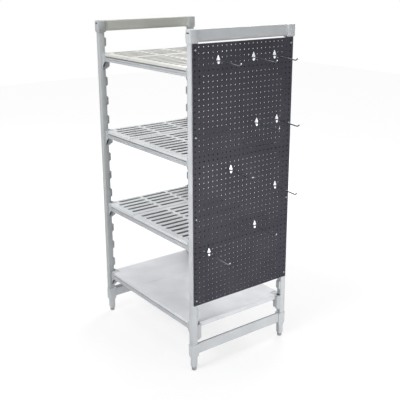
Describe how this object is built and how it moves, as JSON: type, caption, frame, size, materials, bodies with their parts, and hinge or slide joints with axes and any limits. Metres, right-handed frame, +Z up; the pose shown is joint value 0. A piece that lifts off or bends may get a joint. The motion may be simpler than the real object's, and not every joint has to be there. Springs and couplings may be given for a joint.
{
  "type": "pegboard tool wall",
  "caption": "Free-standing tiered shelving unit whose end frame carries a perforated pegboard with tilt-out peg hooks; lift-off slotted shelf plates and levelling feet.",
  "frame": {"origin": "centre of the bounding box's footprint, on the floor", "axes": "+Z up; +Y along the unit, away from the pegboard; +X across it, to the right seen from the pegboard's side"},
  "size_m": [0.6096, 0.9948, 1.626],
  "materials": {
    "grey_polymer": "moulded grey polymer, fine matte grain",
    "bar_polymer": "moulded grey polymer, satin",
    "foot_polymer": "moulded grey polymer",
    "board": "charcoal sheet, fine matte grain",
    "zinc_steel": "bright zinc plating"
  },
  "bodies": {
    "frame": {"post_front_left": "grey_polymer", "post_front_right": "grey_polymer", "post_back_left": "grey_polymer", "post_back_right": "grey_polymer", "cap_front_left": "grey_polymer", "cap_front_right": "grey_polymer", "cap_back_left": "grey_polymer", "cap_back_right": "grey_polymer", "sleeve_front_left": "grey_polymer", "sleeve_front_right": "grey_polymer", "sleeve_back_left": "grey_polymer", "sleeve_back_right": "grey_polymer", "leg_front_left": "grey_polymer", "leg_front_right": "grey_polymer", "leg_back_left": "grey_polymer", "leg_back_right": "grey_polymer", "top_bar_front": "bar_polymer", "top_bar_back": "bar_polymer", "bottom_bar_front": "grey_polymer", "bottom_bar_back": "grey_polymer", "rail_1_left": "grey_polymer", "rail_1_right": "grey_polymer", "rail_2_left": "grey_polymer", "rail_2_right": "grey_polymer", "rail_3_left": "grey_polymer", "rail_3_right": "grey_polymer", "rail_4_left": "grey_polymer", "rail_4_right": "grey_polymer", "pegboard": "board", "screw_1_left": "zinc_steel", "screw_1_right": "zinc_steel", "screw_2_left": "zinc_steel", "screw_2_right": "zinc_steel", "screw_3_left": "zinc_steel", "screw_3_right": "zinc_steel", "screw_4_left": "zinc_steel", "screw_4_right": "zinc_steel"},
    "foot_front_left": {"foot_front_left": "foot_polymer"},
    "foot_front_right": {"foot_front_right": "foot_polymer"},
    "foot_back_left": {"foot_back_left": "foot_polymer"},
    "foot_back_right": {"foot_back_right": "foot_polymer"},
    "deck_1_front": {"deck_1_front": "grey_polymer"},
    "deck_1_back": {"deck_1_back": "grey_polymer"},
    "deck_2_front": {"deck_2_front": "grey_polymer"},
    "deck_2_back": {"deck_2_back": "grey_polymer"},
    "deck_3_front": {"deck_3_front": "grey_polymer"},
    "deck_3_back": {"deck_3_back": "grey_polymer"},
    "deck_4_front": {"deck_4_front": "grey_polymer"},
    "deck_4_back": {"deck_4_back": "grey_polymer"},
    "hook_1": {"hook_1": "zinc_steel"},
    "hook_2": {"hook_2": "zinc_steel"},
    "hook_3": {"hook_3": "zinc_steel"},
    "hook_4": {"hook_4": "zinc_steel"},
    "hook_5": {"hook_5": "zinc_steel"},
    "hook_6": {"hook_6": "zinc_steel"},
    "hook_7": {"hook_7": "zinc_steel"},
    "hook_8": {"hook_8": "zinc_steel"},
    "hook_9": {"hook_9": "zinc_steel"}
  },
  "joints": [
    {"name": "foot_front_left_level", "type": "slide", "parent": "frame", "child": "foot_front_left", "axis": [0, 0, -1], "range_m": [0, 0.02]},
    {"name": "foot_front_right_level", "type": "slide", "parent": "frame", "child": "foot_front_right", "axis": [0, 0, -1], "range_m": [0, 0.02]},
    {"name": "foot_back_left_level", "type": "slide", "parent": "frame", "child": "foot_back_left", "axis": [0, 0, -1], "range_m": [0, 0.02]},
    {"name": "foot_back_right_level", "type": "slide", "parent": "frame", "child": "foot_back_right", "axis": [0, 0, -1], "range_m": [0, 0.02]},
    {"name": "deck_1_front_lift", "type": "slide", "parent": "frame", "child": "deck_1_front", "axis": [0, 0, 1], "range_m": [0, 0.06]},
    {"name": "deck_1_back_lift", "type": "slide", "parent": "frame", "child": "deck_1_back", "axis": [0, 0, 1], "range_m": [0, 0.06]},
    {"name": "deck_2_front_lift", "type": "slide", "parent": "frame", "child": "deck_2_front", "axis": [0, 0, 1], "range_m": [0, 0.06]},
    {"name": "deck_2_back_lift", "type": "slide", "parent": "frame", "child": "deck_2_back", "axis": [0, 0, 1], "range_m": [0, 0.06]},
    {"name": "deck_3_front_lift", "type": "slide", "parent": "frame", "child": "deck_3_front", "axis": [0, 0, 1], "range_m": [0, 0.06]},
    {"name": "deck_3_back_lift", "type": "slide", "parent": "frame", "child": "deck_3_back", "axis": [0, 0, 1], "range_m": [0, 0.06]},
    {"name": "deck_4_front_lift", "type": "slide", "parent": "frame", "child": "deck_4_front", "axis": [0, 0, 1], "range_m": [0, 0.06]},
    {"name": "deck_4_back_lift", "type": "slide", "parent": "frame", "child": "deck_4_back", "axis": [0, 0, 1], "range_m": [0, 0.06]},
    {"name": "hook_1_tilt", "type": "hinge", "parent": "frame", "child": "hook_1", "pos_m": [-0.1572, -0.33699, 1.5145], "axis": [-1, 0, 0], "range_deg": [0, 60]},
    {"name": "hook_2_tilt", "type": "hinge", "parent": "frame", "child": "hook_2", "pos_m": [0.046, -0.33699, 1.5145], "axis": [-1, 0, 0], "range_deg": [0, 60]},
    {"name": "hook_3_tilt", "type": "hinge", "parent": "frame", "child": "hook_3", "pos_m": [0.173, -0.33699, 1.5145], "axis": [-1, 0, 0], "range_deg": [0, 60]},
    {"name": "hook_4_tilt", "type": "hinge", "parent": "frame", "child": "hook_4", "pos_m": [0.0714, -0.33699, 1.2097], "axis": [-1, 0, 0], "range_deg": [0, 60]},
    {"name": "hook_5_tilt", "type": "hinge", "parent": "frame", "child": "hook_5", "pos_m": [0.1984, -0.33699, 1.2097], "axis": [-1, 0, 0], "range_deg": [0, 60]},
    {"name": "hook_6_tilt", "type": "hinge", "parent": "frame", "child": "hook_6", "pos_m": [-0.081, -0.33699, 1.0065], "axis": [-1, 0, 0], "range_deg": [0, 60]},
    {"name": "hook_7_tilt", "type": "hinge", "parent": "frame", "child": "hook_7", "pos_m": [0.1984, -0.33699, 0.8795], "axis": [-1, 0, 0], "range_deg": [0, 60]},
    {"name": "hook_8_tilt", "type": "hinge", "parent": "frame", "child": "hook_8", "pos_m": [0.0714, -0.33699, 0.7017], "axis": [-1, 0, 0], "range_deg": [0, 60]},
    {"name": "hook_9_tilt", "type": "hinge", "parent": "frame", "child": "hook_9", "pos_m": [-0.208, -0.33699, 0.6255], "axis": [-1, 0, 0], "range_deg": [0, 60]}
  ]
}
